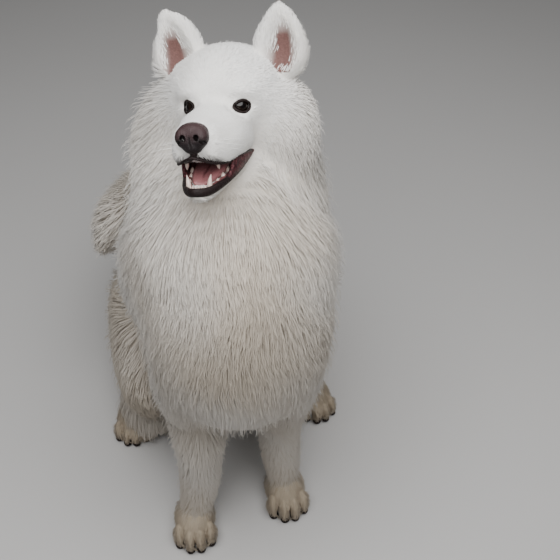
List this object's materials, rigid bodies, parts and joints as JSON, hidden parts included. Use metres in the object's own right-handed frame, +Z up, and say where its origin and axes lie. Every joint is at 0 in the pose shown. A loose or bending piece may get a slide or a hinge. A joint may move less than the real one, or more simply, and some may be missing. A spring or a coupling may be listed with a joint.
{
  "type": "samoyed dog, sitting",
  "caption": "Life-size still model of a long-coated white spitz dog, sitting upright with its head turned and its mouth open.",
  "frame": {"origin": "centre of the bounding box's floor, under the dog", "axes": "+Z up; the dog faces -Y and +X is its left"},
  "size_m": [0.3814, 0.6538, 0.779],
  "materials": {
    "white_coat": "long, dense, neutral white fur in soft overlapping tufts",
    "cream_coat": "short to long cream-white fur",
    "nose_leather": "pebbled brown-black nose leather, slightly moist",
    "lip_skin": "dark, moist lip skin with maroon inner edge",
    "tongue_skin": "moist muted pink tongue",
    "dark_eye": "very dark brown, glossy",
    "tooth_enamel": "creamy enamel",
    "claw_horn": "dull grey-brown horn"
  },
  "bodies": {
    "root": {"head": "white_coat", "nose": "nose_leather", "lower_jaw": "lip_skin", "tongue": "tongue_skin", "eye_left": "dark_eye", "eye_right": "dark_eye", "ear_left": "white_coat", "ear_right": "white_coat", "neck": "white_coat", "torso": "white_coat", "foreleg_left": "white_coat", "foreleg_right": "white_coat", "forepaw_left": "cream_coat", "forepaw_right": "cream_coat", "thigh_left": "cream_coat", "thigh_right": "cream_coat", "hind_foot_left": "cream_coat", "hind_foot_right": "cream_coat", "tail_base": "white_coat", "tail_plume": "white_coat"}
  },
  "joints": []
}
